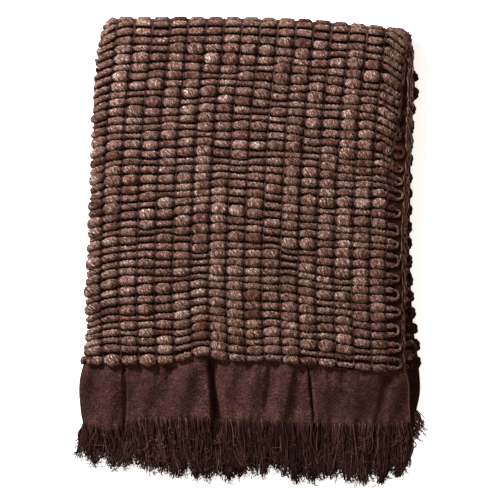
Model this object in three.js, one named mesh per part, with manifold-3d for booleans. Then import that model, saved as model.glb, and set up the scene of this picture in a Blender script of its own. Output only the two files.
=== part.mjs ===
// A woven throw of thick slub yarn, folded in four and lying flat.
// It is folded in half lengthwise, with that fold on the left, and then in half crosswise, with that fold
// at the top. Both fringed ends lie at the bottom and the selvedges at the right.
// Millimetres. +X runs towards the selvedges, +Y towards the crosswise fold, +Z up from the floor.
import * as THREE from 'three';
import Module from 'manifold-3d';

const wasm = await Module();
wasm.setup();

// Driving dimensions of the cloth
const ROW_PITCH = 15.9;
const LEAF_THICKNESS = 11;
const GROUND_THICKNESS = 2;
const ROW_GROOVE = 4.5;
const SLUB_RANGE = 1.8;
const SELVEDGE_STRIP = 17;
const LOOP_LENGTH = 5;

// Gaps between the layers of the folded cloth
const LEAF_GAP = 1.5;
const HALF_GAP = 2;
const PIECE_GAP = 0.3;

// The crosswise fold is longer than it is high, and the stack thins towards the selvedges
const FOLD_STRETCH = 1.55;
const FOLD_ROWS = 6;
const ROW_LEVEL = -222;
const FOLD_LEVEL = 390;
const SELVEDGE_DROP = 0.28;
const DROP_START_X = 235;
const DROP_END_X = 315;

// Plain bands and fringes
const BAND_ROOT = 6;
const BAND_BED = 0.4;
const UPPER_BAND_END_Z = 16;
const FRINGE_STRIP = 7;
const STRAND_WIDTH = 4.4;
const STRAND_THICKNESS = 1.8;
const STRAND_MIDDLE = 0.55;
const TIP_LEAN = 5;
const TIP_UNEVEN = 14;
const CORNER_LEFT_X = -285;
const CORNER_RIGHT_X = 270;

// Heights that follow from them
const DOUBLED = 2 * LEAF_THICKNESS + LEAF_GAP;
const HALF_MIDDLE = HALF_GAP / 2 + DOUBLED / 2;
const STACK_MIDDLE = HALF_GAP / 2 + DOUBLED;
const STACK_HEIGHT = 2 * STACK_MIDDLE;
const FOLD_REACH = STACK_MIDDLE * FOLD_STRETCH;
const FACE = DOUBLED / 2;
const BACK = LEAF_GAP / 2;
const BAND_BACK = BACK + BAND_BED;
const BAND_FACE = BAND_BACK + GROUND_THICKNESS;
const LOWER_BAND_END_Z = BAND_FACE;

// Angles at which the lengthwise fold is rounded
const FOLD_TURNS = [Math.PI / 4, 0, -Math.PI / 4];

// Sides of the folded throw: the lengthwise fold, the selvedge on top and the selvedges below it
const SIDES = [
  { y: 449, fold: -266, selvedge: 304, below: 304 },
  { y: 426, fold: -278, selvedge: 310, below: 309 },
  { y: 369, fold: -293, selvedge: 310, below: 317 },
  { y: 335, fold: -296, selvedge: 310, below: 324 },
  { y: 273, fold: -300, selvedge: 309, below: 319 },
  { y: 197, fold: -303, selvedge: 306, below: 314 },
  { y: 101, fold: -306, selvedge: 304, below: 310 },
  { y: 6, fold: -310, selvedge: 301, below: 308 },
  { y: -90, fold: -316, selvedge: 298, below: 312 },
  { y: -204, fold: -328, selvedge: 296, below: 320 },
  { y: -270, fold: -336, selvedge: 295, below: 324 },
  { y: -310, fold: -333, selvedge: 294, below: 315 },
  { y: -340, fold: -326, selvedge: 293, below: 314 },
];

// Ends of the folded throw, from left to right: how far every row bows upwards, the last row of thick yarn,
// root of the fringe, tips of the fringe and the crosswise fold
const ENDS = [
  { x: -330, level: 6, row: -210, root: -324, tips: -380, fold: 432 },
  { x: -305, level: 8, row: -210, root: -325, tips: -414, fold: 437 },
  { x: -250, level: 13, row: -210, root: -330, tips: -410, fold: 445 },
  { x: -210, level: 15, row: -210, root: -314, tips: -412, fold: 449 },
  { x: -140, level: 18, row: -209, root: -313, tips: -428, fold: 449 },
  { x: -115, level: 19, row: -200, root: -313, tips: -424, fold: 449 },
  { x: -90, level: 20, row: -190, root: -315, tips: -440, fold: 449 },
  { x: -58, level: 21, row: -199, root: -318, tips: -430, fold: 449 },
  { x: -7, level: 18, row: -207, root: -319, tips: -434, fold: 449 },
  { x: 43, level: 15, row: -204, root: -321, tips: -420, fold: 447 },
  { x: 95, level: 9, row: -210, root: -325, tips: -441, fold: 445 },
  { x: 150, level: 4, row: -215, root: -326, tips: -432, fold: 441 },
  { x: 228, level: 0, row: -226, root: -326, tips: -442, fold: 434 },
  { x: 290, level: -4, row: -226, root: -325, tips: -430, fold: 427 },
  { x: 330, level: -6, row: -224, root: -322, tips: -380, fold: 415 },
];

// Folds of the gathered upper band: place at the last row and at the fringe, half width, depth, how far
// down the band it runs and how much of its depth is left there
const BAND_FOLDS = [
  { top: -298, bottom: -300, half: 12, depth: 2.5, run: 0.4, left: 0 },
  { top: -240, bottom: -239, half: 9, depth: 7, run: 1, left: 0.7 },
  { top: -192, bottom: -194, half: 12, depth: 2.5, run: 0.5, left: 0 },
  { top: -154, bottom: -156, half: 12, depth: 3, run: 0.5, left: 0 },
  { top: -78, bottom: -67, half: 17, depth: 10, run: 1, left: 0.6 },
  { top: -1, bottom: -2, half: 12, depth: 2.5, run: 0.4, left: 0 },
  { top: 38, bottom: 41, half: 15, depth: 3.5, run: 0.9, left: 0.2 },
  { top: 80, bottom: 84, half: 13, depth: 3.5, run: 0.9, left: 0.3 },
  { top: 112, bottom: 120, half: 9, depth: 8, run: 1, left: 0.35 },
  { top: 149, bottom: 152, half: 12, depth: 2.5, run: 0.5, left: 0 },
  { top: 178, bottom: 182, half: 12, depth: 2.5, run: 0.5, left: 0 },
  { top: 270, bottom: 268, half: 11, depth: 3, run: 1, left: 0.3 },
];

// Fringes: for each leaf, the number of strands, the height at which they lie, how far the strands at the
// corners spread, and the number that sets their unevenness
const UPPER_FRINGE = {
  upper: true,
  over: { strands: 80, rest: 7.8, leftSpread: 2, rightSpread: 12, seed: 11 },
  under: { strands: 40, rest: 5.2, leftSpread: 4, rightSpread: 14, seed: 23 },
};
const LOWER_FRINGE = {
  upper: false,
  over: { strands: 40, rest: 2.6, leftSpread: 4, rightSpread: 16, seed: 37 },
  under: { strands: 50, rest: 0, leftSpread: 6, rightSpread: 18, seed: 51 },
};

const YARN = { color: 0x5b4238, roughness: 0.95, metalness: 0 };
const WARP_ENDS = { color: 0x432a25, roughness: 0.9, metalness: 0 };

const lerp = THREE.MathUtils.lerp;
const smooth = THREE.MathUtils.smoothstep;

// A repeatable number from 0 to 1 for a pair of counts
function chance(i, j) {
  const wave = Math.sin(i * 12.9898 + j * 78.233) * 43758.5453;
  return wave - Math.floor(wave);
}

// The value of one column of a table at a place along its key
function lookUp(table, key, place, column) {
  const rows = table[0][key] > table[1][key] ? [...table].reverse() : table;
  const clamped = THREE.MathUtils.clamp(place, rows[0][key], rows.at(-1)[key]);
  const next = Math.max(1, rows.findIndex((row) => row[key] >= clamped));
  const low = rows[next - 1];
  const high = rows[next];
  const share = (clamped - low[key]) / (high[key] - low[key]);
  return lerp(low[column], high[column], share);
}

const sideAt = (y, column) => lookUp(SIDES, 'y', y, column);
const endAt = (x, column) => lookUp(ENDS, 'x', x, column);

// The soft rise and fall of the pile, and how it thins towards the selvedges
function settle(x, y, z) {
  const drop = 1 - SELVEDGE_DROP * smooth(x, DROP_START_X, DROP_END_X);
  const swell = 1.3 * Math.sin(x / 71 + 1) * Math.sin(y / 93) + 0.6 * Math.sin(x / 37 + y / 61);
  const calm = smooth(y, -200, -120);
  return z * drop * (1 + (calm * swell) / STACK_HEIGHT);
}

// A point across the doubled cloth: along names the share of the way from the lengthwise fold to the
// selvedge, or turn the angle round the lengthwise fold, and off the distance from the doubled middle
function acrossAt(section, foldX, selvedgeX) {
  const centre = foldX + FACE;
  if (section.turn !== undefined) {
    return {
      x: centre - section.off * Math.cos(section.turn),
      w: section.off * Math.sin(section.turn),
    };
  }
  const inset = section.inset ?? 0;
  return { x: lerp(centre, selvedgeX - inset, section.along), w: section.off };
}

// How far up the throw a share of the half's length lies: the rows bow alike, but for those at both ends
function rowAt(x, share) {
  const level = endAt(x, 'level');
  const last = endAt(x, 'row') - ROW_LEVEL - level;
  const folded = endAt(x, 'fold') - FOLD_REACH - FOLD_LEVEL - level;
  return lerp(ROW_LEVEL, FOLD_LEVEL, share) + level + last * (1 - share) ** 4 + folded * share ** 4;
}

// A point of the field, on the upper half, round the crosswise fold, or on the lower half
function fieldPoint(section, step) {
  const dip = step.dip * (section.ribbed ?? 0);
  const lowered = { ...section, off: section.off - dip };
  const guessX = section.along === undefined ? SIDES.at(-1).fold : lerp(-310, 300, section.along);
  const turning = step.angle > 0 && step.angle < Math.PI;
  const reach = turning ? FOLD_REACH * Math.sin(step.angle) : 0;
  const guessY = rowAt(guessX, step.share) + reach;
  const selvedge = lerp(sideAt(guessY, 'selvedge'), sideAt(guessY, 'below'), step.angle / Math.PI);
  const { x, w } = acrossAt(lowered, sideAt(guessY, 'fold'), selvedge);
  const radius = HALF_MIDDLE + w;
  const y = rowAt(x, step.share) + radius * Math.sin(step.angle) * FOLD_STRETCH;
  const z = STACK_MIDDLE + radius * Math.cos(step.angle);
  return new THREE.Vector3(x, y, settle(x, y, z));
}

// A closed surface, gathered strip by strip
class Skin {
  constructor() {
    this.points = [];
    this.faces = [];
  }

  // Adds a line of points, each with its place along the line
  line(points, places) {
    return points.map((point, i) => {
      this.points.push(point);
      return { index: this.points.length - 1, place: places[i] };
    });
  }

  // Joins two lines that run the same way, seen from outside with the first on the left
  strip(first, second) {
    let i = 0;
    let j = 0;
    while (i < first.length - 1 || j < second.length - 1) {
      const nextFirst = i < first.length - 1 ? first[i + 1].place : Infinity;
      const nextSecond = j < second.length - 1 ? second[j + 1].place : Infinity;
      if (nextFirst <= nextSecond) {
        this.faces.push([first[i].index, second[j].index, first[i + 1].index]);
        i += 1;
      } else {
        this.faces.push([first[i].index, second[j].index, second[j + 1].index]);
        j += 1;
      }
    }
  }

  // Joins four corners, given against the clock as seen from outside
  quad(a, b, c, d) {
    this.faces.push([a, b, c], [a, c, d]);
  }

  solid() {
    return new wasm.Manifold(
      new wasm.Mesh({
        numProp: 3,
        vertProperties: new Float32Array(this.points.flatMap((p) => [p.x, p.y, p.z])),
        triVerts: new Uint32Array(this.faces.flat()),
      }),
    );
  }
}

function meshOf(name, solid, finish) {
  const { vertProperties, triVerts } = solid.getMesh();
  const geometry = new THREE.BufferGeometry();
  geometry.setAttribute('position', new THREE.BufferAttribute(new Float32Array(vertProperties), 3));
  geometry.setIndex(new THREE.BufferAttribute(new Uint32Array(triVerts), 1));
  geometry.computeVertexNormals();
  const mesh = new THREE.Mesh(geometry, new THREE.MeshStandardMaterial(finish));
  mesh.name = name;
  return mesh;
}

// Steps along the field's length, from the last row of the upper half to that of the lower half
const HALF_ROWS = Math.round((FOLD_LEVEL - ROW_LEVEL) / ROW_PITCH);
const CREST_START = 0.27;
const CREST_END = 0.73;
const CREST_LEAN = 0.12;
const PLAIN_SHARES = [0, 0.1, 0.25, 0.4, 0.55, 0.7, 0.85, 1];

function ribbedSteps() {
  const steps = [];
  for (let row = 0; row < HALF_ROWS; row += 1) {
    const lean = CREST_LEAN * (chance(row, 3) - 0.5);
    steps.push({ share: row / HALF_ROWS, angle: 0, dip: ROW_GROOVE });
    for (const part of [CREST_START, CREST_END]) {
      steps.push({ share: (row + part + lean) / HALF_ROWS, angle: 0, dip: 0, crest: true, row });
    }
  }
  for (let row = 0; row < FOLD_ROWS; row += 1) {
    const rise = Math.PI / FOLD_ROWS;
    steps.push({ share: 1, angle: row * rise, dip: ROW_GROOVE });
    for (const part of [CREST_START, CREST_END]) {
      steps.push({ share: 1, angle: (row + part) * rise, dip: 0, crest: true, row: HALF_ROWS + row });
    }
  }
  for (const share of [...PLAIN_SHARES].reverse()) {
    steps.push({ share, angle: Math.PI, dip: 0 });
  }
  return steps;
}

function plainSteps() {
  const steps = PLAIN_SHARES.map((share) => ({ share, angle: 0, dip: 0 }));
  for (let turn = 1; turn < FOLD_ROWS; turn += 1) {
    steps.push({ share: 1, angle: (turn / FOLD_ROWS) * Math.PI, dip: 0 });
  }
  for (const share of [...PLAIN_SHARES].reverse()) {
    steps.push({ share, angle: Math.PI, dip: 0 });
  }
  return steps;
}

// How far along the whole length a step lies, in one count for both kinds of step
const placeOf = (step) => step.share + step.angle + (step.angle === Math.PI ? 2 * (1 - step.share) : 0);

// The field of thick rows, with its ribs raised on the outer face
function fieldSolid() {
  const skin = new Skin();
  const shares = [1, 0.87, 0.74, 0.62, 0.51, 0.44, 0.39, 0.34, 0.26, 0.14, 0];
  const thin = BACK + GROUND_THICKNESS;
  const loops = SELVEDGE_STRIP + LOOP_LENGTH;
  const outer = [
    { along: 1, off: thin },
    { along: 1, inset: SELVEDGE_STRIP, off: thin },
    ...shares.map((along) => ({ along, inset: loops, off: FACE, ribbed: 1 })),
    ...FOLD_TURNS.map((turn) => ({ turn, off: FACE, ribbed: 1 })),
    ...[0, 0.35, 0.7, 1].map((along) => ({ along, inset: loops, off: -FACE })),
    { along: 1, inset: SELVEDGE_STRIP, off: -thin },
    { along: 1, off: -thin },
  ];
  const back = [
    ...[1, 0.7, 0.35, 0].map((along) => ({ along, off: -BACK })),
    { turn: 0, off: BACK },
    ...[0, 0.35, 0.7, 1].map((along) => ({ along, off: BACK })),
  ];
  const lines = [...outer, ...back].map((section, i) => {
    const steps = section.ribbed ? ribbedSteps() : plainSteps();
    const points = steps.map((step) => {
      const slub = step.crest ? SLUB_RANGE * chance(step.row, i) : 0;
      return fieldPoint(section, { ...step, dip: step.dip + slub });
    });
    return skin.line(points, steps.map(placeOf));
  });
  return sheetSolid(skin, lines, outer.length);
}

// Closes the lines of a folded sheet, which run towards the crosswise fold, into a solid
function sheetSolid(skin, lines, outerCount) {
  lines.forEach((line, i) => skin.strip(lines[(i + 1) % lines.length], line));
  const rim = (at, list) =>
    list.map((line, i) => ({ index: line.at(at).index, place: i / (list.length - 1) }));
  const outer = lines.slice(0, outerCount);
  const back = lines.slice(outerCount).reverse();
  skin.strip(rim(0, back), rim(0, outer));
  skin.strip(rim(-1, outer), rim(-1, back));
  return skin.solid();
}

// How deep the folds of the upper band are at a place
function foldDepth(x, share) {
  return BAND_FOLDS.reduce((deepest, fold) => {
    const centre = lerp(fold.top, fold.bottom, share);
    const near = Math.max(0, 1 - Math.abs(x - centre) / fold.half);
    const strength = lerp(1, fold.left, Math.min(1, share / fold.run));
    return Math.max(deepest, fold.depth * near * strength);
  }, 0);
}

// A point of a plain band or of its fringe's strip: share 0 is the last row, 1 the root of the fringe, and
// beyond is a distance past either
function bandPoint(section, share, beyond, upper) {
  const guessX = section.at ?? (section.along === undefined ? -325 : lerp(-325, 295, section.along));
  const guessY = lerp(endAt(guessX, 'row'), endAt(guessX, 'root'), share) - beyond;
  const selvedge = sideAt(guessY, upper ? 'selvedge' : 'below');
  const across = acrossAt(section, sideAt(guessY, 'fold'), selvedge);
  const x = section.at ?? across.x;
  const y = lerp(endAt(x, 'row'), endAt(x, 'root'), share) - beyond;
  const ease = 1 - smooth(share, 0, 1);
  const start = upper ? STACK_MIDDLE + HALF_MIDDLE : STACK_MIDDLE - HALF_MIDDLE;
  const end = upper ? UPPER_BAND_END_Z : LOWER_BAND_END_Z;
  const gathered = upper ? foldDepth(x, share) * smooth(share, 0, 0.08) : 0;
  const z = lerp(end, start, ease) + across.w - gathered;
  return new THREE.Vector3(x, y, settle(x, y, z));
}

// Where the lines of a band lie across it: on the rims and the floor of each fold, and between the folds
function bandPlaces(upper) {
  if (!upper) {
    return [0, 0.2, 0.4, 0.6, 0.8, 1].map((along) => ({ along }));
  }
  const folds = BAND_FOLDS.flatMap((fold) =>
    [-1, 0, 1].map((side) => ({
      top: fold.top + side * fold.half,
      bottom: fold.bottom + side * fold.half,
    })),
  );
  const between = [
    { top: -265, bottom: -265 },
    { top: -215, bottom: -216 },
    { top: -120, bottom: -118 },
    { top: -35, bottom: -34 },
    { top: 210, bottom: 212 },
    { top: 235, bottom: 236 },
  ];
  const inner = [...folds, ...between].sort((a, b) => a.top - b.top);
  return [{ along: 0 }, ...inner, { along: 1 }];
}

// One place of a band at a share of its length, as a section with its distance off the middle
function bandSection(place, share, off) {
  return place.top === undefined ? { ...place, off } : { at: lerp(place.top, place.bottom, share), off };
}

const BAND_TURNS = [Math.PI / 4, 0, -Math.PI / 4];

// A doubled band of plain ground cloth, with its root bedded in the last row
function bandSolid(upper) {
  const skin = new Skin();
  const places = bandPlaces(upper);
  const reversed = [...places].reverse();
  const leaf = (list, off) => list.map((place) => (share) => bandSection(place, share, off));
  const turns = (off) => FOLD_TURNS.map((turn) => () => ({ turn, off }));
  const outer = [...leaf(reversed, BAND_FACE), ...turns(BAND_FACE), ...leaf(places, -BAND_FACE)];
  const back = [...leaf(reversed, -BAND_BACK), ...turns(BAND_BACK).reverse(), ...leaf(places, BAND_BACK)];
  const shares = upper ? [1, 0.8, 0.6, 0.42, 0.24, 0.08, 0] : [1, 0.65, 0.35, 0];
  const steps = [...shares.map((share) => ({ share, beyond: 0 })), { share: 0, beyond: -BAND_ROOT }];
  const lines = [...outer, ...back].map((sectionAt) => {
    const points = steps.map((step) => bandPoint(sectionAt(step.share), step.share, step.beyond, upper));
    return skin.line(points, steps.map((step) => -step.share - step.beyond / BAND_ROOT));
  });
  return sheetSolid(skin, lines, outer.length);
}

// One strand: its root is four corners of the strip's edge, and it narrows to a tip at its rest height
function addStrand(skin, root, tip, rest) {
  const corners = root.map((index) => skin.points[index]);
  const centre = corners.reduce((sum, corner) => sum.add(corner), new THREE.Vector3()).divideScalar(4);
  const middle = corners.map((corner) => {
    const x = lerp(centre.x, tip.x, STRAND_MIDDLE) + 0.7 * (corner.x - centre.x);
    const y = lerp(centre.y, tip.y, STRAND_MIDDLE);
    const z = rest + (corner.z > centre.z ? STRAND_THICKNESS : 0);
    return new THREE.Vector3(x, y, settle(x, y, z));
  });
  const ring = skin.line(middle, [0, 1, 2, 3]).map((end) => end.index);
  const point = skin.line([new THREE.Vector3(tip.x, tip.y, settle(tip.x, tip.y, rest))], [0])[0].index;
  root.forEach((index, i) => {
    const next = (i + 1) % 4;
    skin.quad(index, root[next], ring[next], ring[i]);
    skin.faces.push([ring[i], ring[next], point]);
  });
}

// Where a strand's tip lies below its root, with the strands at both corners spread outwards
function tipAt(x, count, leaf) {
  const toLeft = leaf.leftSpread * (1 - smooth(x, -325, CORNER_LEFT_X));
  const toRight = leaf.rightSpread * smooth(x, CORNER_RIGHT_X, 318);
  const lean = TIP_LEAN * (chance(count, leaf.seed) - 0.5);
  const uneven = TIP_UNEVEN * (chance(count, leaf.seed + 1) - 0.5);
  return { x: x + lean - toLeft + toRight, y: endAt(x, 'tips') + uneven };
}

// The fringe of one end: a narrow strip parted from the band's edge, with the strands of both leaves
function fringeSolid(fringe) {
  const skin = new Skin();
  const front = PIECE_GAP + FRINGE_STRIP;
  const spot = (place, off, beyond) => bandPoint(bandSection(place, 1, off), 1, beyond, fringe.upper);
  const right = spot({ along: 1 }, BAND_FACE, front).x;
  const left = spot({ along: 0 }, BAND_FACE, front).x;

  // The strand roots of one leaf, each as the two places between which it grows
  const rootsOf = (leaf, from, to) => {
    const half = (Math.sign(to - from) * STRAND_WIDTH) / 2;
    return Array.from({ length: leaf.strands }, (_, count) => {
      const centre = lerp(from + 2 * half, to - 2 * half, count / (leaf.strands - 1));
      return [{ at: centre - half, leaf, count }, { at: centre + half }];
    }).flat();
  };
  const turns = FOLD_TURNS.map((turn) => ({ turn, side: 1 }));
  const above = (list) => list.map((place) => ({ ...place, side: 1 }));
  const below = (list) => list.map((place) => ({ ...place, side: -1 }));
  const frontPlaces = [
    ...above([{ along: 1 }, ...rootsOf(fringe.over, right, left), { along: 0 }]),
    ...turns,
    ...below([{ along: 0 }, ...rootsOf(fringe.under, left, right), { along: 1 }]),
  ];
  const bands = bandPlaces(fringe.upper);
  const rearPlaces = [...above([...bands].reverse()), ...turns, ...below(bands)];

  // One line round the doubled edge, counted from the selvedge above to the selvedge below
  const rimLine = (places, off, beyond) => {
    const points = places.map((place) => spot(place, off * place.side, beyond));
    const counts = places.map((place, i) => {
      if (place.turn !== undefined) {
        return 1.5 - place.turn / Math.PI;
      }
      const share = (right - points[i].x) / (right - left);
      return place.side > 0 ? Math.min(1, share) : 3 - Math.min(1, share);
    });
    return skin.line(points, counts);
  };
  const frontFace = rimLine(frontPlaces, BAND_FACE, front);
  const rearFace = rimLine(rearPlaces, BAND_FACE, PIECE_GAP);
  const rearBack = rimLine(rearPlaces, BAND_BACK, PIECE_GAP);
  const frontBack = rimLine(frontPlaces, BAND_BACK, front);
  skin.strip(frontFace, rearFace);
  skin.strip(rearFace, rearBack);
  skin.strip(rearBack, frontBack);
  const endAtRim = (at) => [frontFace, rearFace, rearBack, frontBack].map((line) => line.at(at).index);
  skin.quad(...endAtRim(0).reverse());
  skin.quad(...endAtRim(-1));
  frontPlaces.slice(0, -1).forEach((place, i) => {
    const corners = [frontFace[i], frontFace[i + 1], frontBack[i + 1], frontBack[i]];
    const root = corners.map((corner) => corner.index);
    if (place.leaf) {
      addStrand(skin, root, tipAt(place.at, place.count, place.leaf), place.leaf.rest);
    } else {
      skin.quad(...root);
    }
  });
  return skin.solid();
}

const cloth = fieldSolid().add(bandSolid(true)).add(bandSolid(false));
const group = new THREE.Group();
group.add(meshOf('throw_cloth', cloth, YARN));
group.add(meshOf('fringe_upper_end', fringeSolid(UPPER_FRINGE), WARP_ENDS));
group.add(meshOf('fringe_lower_end', fringeSolid(LOWER_FRINGE), WARP_ENDS));

// The origin is the middle of the base
const middle = new THREE.Box3().setFromObject(group).getCenter(new THREE.Vector3());
group.position.set(-middle.x, -middle.y, 0);
export default group;
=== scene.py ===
"""A woven throw of thick slub yarn, folded in four, lying flat with its fringes towards the viewer."""
import math

import bpy
import numpy as np
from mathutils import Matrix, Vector


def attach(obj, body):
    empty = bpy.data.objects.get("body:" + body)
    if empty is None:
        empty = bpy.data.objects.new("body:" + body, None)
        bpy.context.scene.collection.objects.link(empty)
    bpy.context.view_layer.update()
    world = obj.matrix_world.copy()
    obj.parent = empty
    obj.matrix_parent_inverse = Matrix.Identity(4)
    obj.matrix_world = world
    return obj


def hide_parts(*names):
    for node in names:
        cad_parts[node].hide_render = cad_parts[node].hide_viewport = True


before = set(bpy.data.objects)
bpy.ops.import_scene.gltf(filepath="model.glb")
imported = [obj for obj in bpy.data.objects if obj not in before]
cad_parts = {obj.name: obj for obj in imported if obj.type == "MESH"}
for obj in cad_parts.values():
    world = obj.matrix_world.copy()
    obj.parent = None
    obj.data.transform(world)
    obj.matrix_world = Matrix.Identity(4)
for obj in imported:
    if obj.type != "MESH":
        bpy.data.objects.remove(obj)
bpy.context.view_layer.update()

BODY = "root"
MM = 0.001
UP = np.array([0.0, 0.0, 1.0])

# Place of the cloth's own coordinates in the frame, in millimetres
SHIFT = np.array([-0.1, -0.98, 0.0])

# Driving dimensions of the cloth, in millimetres
LEAF_THICKNESS = 11.0
LEAF_GAP = 1.5
LEAF_WIDTH = 610.0
HALF_GAP = 2.0
GROUND = 1.2
BAND_LENGTH = 110.0
COLUMN_PITCH = 34.0
ROW_LEVEL = -222.0
FOLD_LEVEL = 390.0
UPPER_BAND_Z = 16.0
# The crosswise fold is longer than a round one, in the solid and here
CAD_STRETCH = 1.55
FOLD_STRETCH = 1.79
# The pile thins towards the selvedge, by this share over these x
SELVEDGE_DROP = 0.28
DROP_X = (235.0, 315.0)

# Rows of yarn, counted from the upper end round the crosswise fold to the lower one
HALF_ROWS = 38
FOLD_ROWS = 6
FOLD_MIDDLE = HALF_ROWS + FOLD_ROWS / 2
UNDER_ROW = HALF_ROWS + FOLD_ROWS
ALL_ROWS = 2 * HALF_ROWS + FOLD_ROWS
ROW_PITCH = (FOLD_LEVEL - ROW_LEVEL) / HALF_ROWS

DOUBLED = 2 * LEAF_THICKNESS + LEAF_GAP
HALF_MIDDLE = HALF_GAP / 2 + DOUBLED / 2
STACK_MIDDLE = HALF_GAP / 2 + DOUBLED
STACK_HEIGHT = 2 * STACK_MIDDLE
FOLD_REACH = STACK_MIDDLE * CAD_STRETCH
FACE = DOUBLED / 2
BACK = LEAF_GAP / 2
GROUND_TOP = BACK + GROUND
LOWER_BAND_Z = BACK + 2.4

# Sides of the folded throw: y, the lengthwise fold, the selvedge on top, the selvedges below it
SIDES = np.array([
    (449, -272, 304, 304),
    (426, -284, 310, 309),
    (369, -297, 310, 313),
    (335, -301, 310, 320),
    (273, -303, 309, 314),
    (197, -303, 306, 311),
    (101, -306, 301, 310),
    (6, -310, 296, 308),
    (-90, -315, 294, 312),
    (-135, -312, 294, 315),
    (-185, -319, 293, 319),
    (-204, -324, 293, 320),
    (-228, -333, 297, 322),
    (-250, -336, 303, 324),
    (-270, -336, 304, 324),
    (-310, -333, 305, 315),
    (-340, -326, 305, 314),
], float)[::-1]

# Ends of the folded throw: x, how far every row bows upwards, the last row of thick yarn, the root of the
# fringe, the tips of the fringe, the crosswise fold
ENDS = np.array([
    (-330, 6, -210, -324, -364, 432),
    (-305, 8, -210, -325, -400, 444),
    (-272, 11, -210, -336, -406, 447),
    (-250, 13, -210, -331, -403, 449),
    (-226, 14, -210, -320, -409, 449),
    (-210, 15, -210, -314, -412, 449),
    (-140, 18, -209, -313, -428, 449),
    (-115, 19, -200, -313, -424, 449),
    (-90, 20, -190, -315, -440, 449),
    (-58, 21, -199, -318, -430, 449),
    (-7, 18, -207, -319, -434, 449),
    (43, 15, -204, -321, -420, 447),
    (95, 9, -210, -325, -441, 445),
    (150, 4, -215, -326, -432, 441),
    (228, 0, -226, -326, -442, 434),
    (290, -4, -226, -325, -430, 427),
    (330, -6, -224, -322, -380, 415),
], float)

# The binding line nearest the selvedge on top: y, x
FIRST_LINE = np.array([(-214, 231), (-71, 225), (124, 231), (273, 240), (384, 253), (449, 258)], float)

# Folds of the gathered upper band: x at the last row, x at the fringe, half width, depth, how far down the
# band it runs, share of the depth left there
BAND_FOLDS = np.array([
    (-298, -294, 8, 5.0, 0.45, 0.0),
    (-242, -241, 4.5, 16.0, 1.0, 0.7),
    (-177, -176, 6, 5.0, 0.35, 0.0),
    (-154, -150, 7, 5.5, 0.6, 0.0),
    (-78, -67, 14, 28.0, 1.0, 0.8),
    (-1, 2, 6, 5.0, 0.35, 0.0),
    (43, 34, 12, 8.5, 0.95, 0.4),
    (96, 76, 12, 9.0, 1.0, 0.55),
    (107, 121, 4.5, 16.0, 1.0, 0.7),
    (151, 154, 7, 4.5, 0.5, 0.0),
    (176, 182, 8, 5.0, 0.5, 0.0),
    (214, 210, 8, 3.0, 0.5, 0.0),
    (262, 246, 9, 3.5, 1.0, 0.8),
])


def softened(table, column, spread):
    """A table's column as a smooth curve: (places, values) a millimetre apart, rounded over the spread."""
    places = np.arange(table[0, 0] - 4 * spread, table[-1, 0] + 4 * spread + 1)
    values = np.interp(places, table[:, 0], table[:, column])
    reach = np.arange(-3 * spread, 3 * spread + 1)
    weights = np.exp(-0.5 * (reach / spread) ** 2)
    padded = np.pad(values, int(3 * spread), mode="edge")
    return places, np.convolve(padded, weights / weights.sum(), mode="valid")


CURVES = {
    "fold": softened(SIDES, 1, 12),
    "selvedge": softened(SIDES, 2, 14),
    "below": softened(SIDES, 3, 9),
    "level": softened(ENDS, 1, 14),
    "row": softened(ENDS, 2, 7),
    "root": softened(ENDS, 3, 6),
    "tips": softened(ENDS, 4, 8),
    "top": softened(ENDS, 5, 14),
    "line": softened(FIRST_LINE, 1, 20),
}


def curve(name, at):
    return np.interp(at, *CURVES[name])


def smooth(value, low, high):
    share = np.clip((value - low) / (high - low), 0, 1)
    return share * share * (3 - 2 * share)


def lerp(a, b, share):
    return a + (b - a) * share


def travelled(line):
    """How far along a line each of its points lies."""
    return np.concatenate([[0], np.cumsum(np.linalg.norm(np.diff(line, axis=0), axis=1))])


# The map of the folded cloth

NEAR_FLOOR = 3.0


def settle(x, y, z):
    """The soft rise and fall of the pile, and how it thins towards the selvedges."""
    drop = 1 - SELVEDGE_DROP * smooth(x, *DROP_X)
    swell = 1.3 * np.sin(x / 71 + 1) * np.sin(y / 93) + 0.6 * np.sin(x / 37 + y / 61)
    return z * drop * (1 + smooth(y, -200, -120) * swell / STACK_HEIGHT)


def rested(z):
    """Cloth that is drawn down to the floor comes to rest on it."""
    return np.where(z < NEAR_FLOOR, NEAR_FLOOR * np.exp(np.minimum(z, NEAR_FLOOR) / NEAR_FLOOR - 1), z)


def row_at(x, share):
    """How far up a share of the half's length lies. The rows bow alike, but for those at both ends."""
    level = curve("level", x)
    last = curve("row", x) - ROW_LEVEL - level
    folded = curve("top", x) - FOLD_REACH - FOLD_LEVEL - level
    straight = ROW_LEVEL + (FOLD_LEVEL - ROW_LEVEL) * share
    return straight + level + last * (1 - share) ** 4 + folded * share ** 4


def folding(rows):
    """The share of the half's length at places counted in rows, and the angle round the crosswise fold."""
    upper = np.clip(rows / HALF_ROWS, None, 1)
    share = np.where(rows > UNDER_ROW, (ALL_ROWS - rows) / HALF_ROWS, upper)
    return share, np.pi * np.clip((rows - HALF_ROWS) / FOLD_ROWS, 0, 1)


# Where the curves are first read, for the yarn and for the sheets
LINE_X = 238
YARN_X = (-320, 300)
SHEET_X = (-316, 300)
# The yarn's middle rounds the lengthwise fold at this radius
TURN_RADIUS = 6.3
TURN_LENGTH = math.pi * TURN_RADIUS
# The lower half's yarn reaches farther out at the selvedge
UNDER_REACH = 18.0
# The columns are narrower outside the first binding line
EDGE_SQUEEZE = 0.88
# The rows slant down more and more as they roll over the lengthwise fold
ROLL_SLANT = 0.42
ROLL_START = 50.0


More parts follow.
